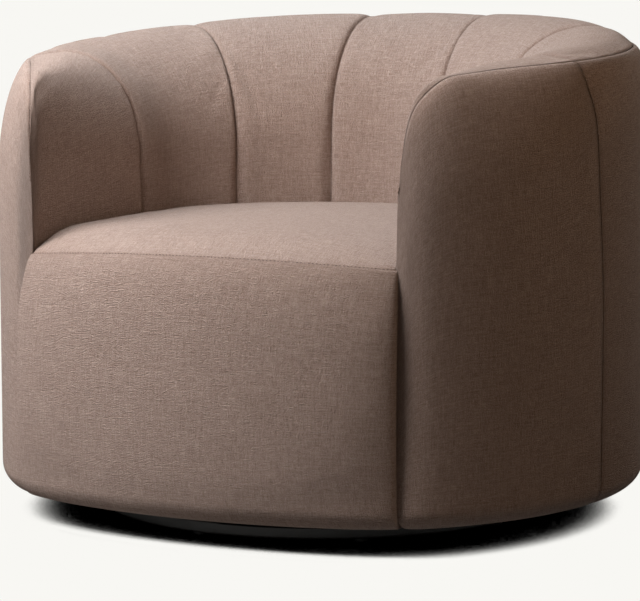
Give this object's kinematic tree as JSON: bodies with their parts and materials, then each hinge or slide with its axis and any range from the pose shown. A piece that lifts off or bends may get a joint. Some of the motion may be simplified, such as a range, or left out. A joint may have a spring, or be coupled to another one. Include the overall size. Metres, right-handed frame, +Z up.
{
  "type": "swivel armchair",
  "caption": "Low round tub armchair with a channelled back, padded arms and a tight seat, turning on a hidden round plinth.",
  "frame": {"origin": "on the floor below the swivel axis, at the middle of the base", "axes": "+Z up along the swivel axis, the front of the chair faces -Y, +X is the sitter's left at rest"},
  "size_m": [0.9516, 0.8883, 0.7317],
  "materials": {
    "upholstery": "heathered plain weave, matt",
    "foam": "cut foam",
    "webbing": "woven strap",
    "dust_cloth": "black nonwoven",
    "plywood": "raw birch ply",
    "hardwood": "planed",
    "black_board": "black stained ply",
    "zinc_steel": "zinc plated",
    "black_nylon": "moulded",
    "bearing_steel": "polished"
  },
  "bodies": {
    "base": {"plinth_board": "black_board", "floor_glides": "black_nylon", "glide_screws": "zinc_steel", "lower_swivel_plate": "zinc_steel", "lower_plate_screws": "zinc_steel", "lower_race": "bearing_steel", "pivot_bolt": "zinc_steel", "pivot_washer": "zinc_steel", "lock_nut": "zinc_steel"},
    "bearing": {"ball_cage": "black_nylon", "bearing_balls": "bearing_steel"},
    "seat_body": {"upper_swivel_plate": "zinc_steel", "upper_race": "bearing_steel", "pivot_bush": "black_nylon", "upper_plate_bolts": "zinc_steel", "bottom_board": "plywood", "dust_cover": "dust_cloth", "lower_posts": "hardwood", "middle_rail": "plywood", "upper_posts": "hardwood", "top_rail": "plywood", "front_board": "plywood", "seat_side_boards": "plywood", "seat_back_board": "plywood", "corner_blocks": "hardwood", "webbing_lengthwise": "webbing", "webbing_crosswise": "webbing", "seat_foam": "foam", "seat_top_panel": "upholstery", "seat_front_panel": "upholstery", "outer_panel_left": "upholstery", "outer_panel_right": "upholstery", "outer_panel_back": "upholstery", "arm_pad_left": "upholstery", "arm_pad_right": "upholstery", "back_channel_1": "upholstery", "back_channel_2": "upholstery", "back_channel_3": "upholstery", "back_channel_4": "upholstery", "back_channel_5": "upholstery"}
  },
  "joints": [
    {"name": "swivel", "type": "hinge", "parent": "base", "child": "seat_body", "pos_m": [0, 0, 0.0385], "axis": [0, 0, 1], "continuous": true},
    {"name": "cage_roll", "type": "hinge", "parent": "base", "child": "bearing", "pos_m": [0, 0, 0.0385], "axis": [0, 0, 1], "continuous": true}
  ],
  "couplings": [
    {"joint": "cage_roll", "follows": "swivel", "ratio": 0.5}
  ]
}
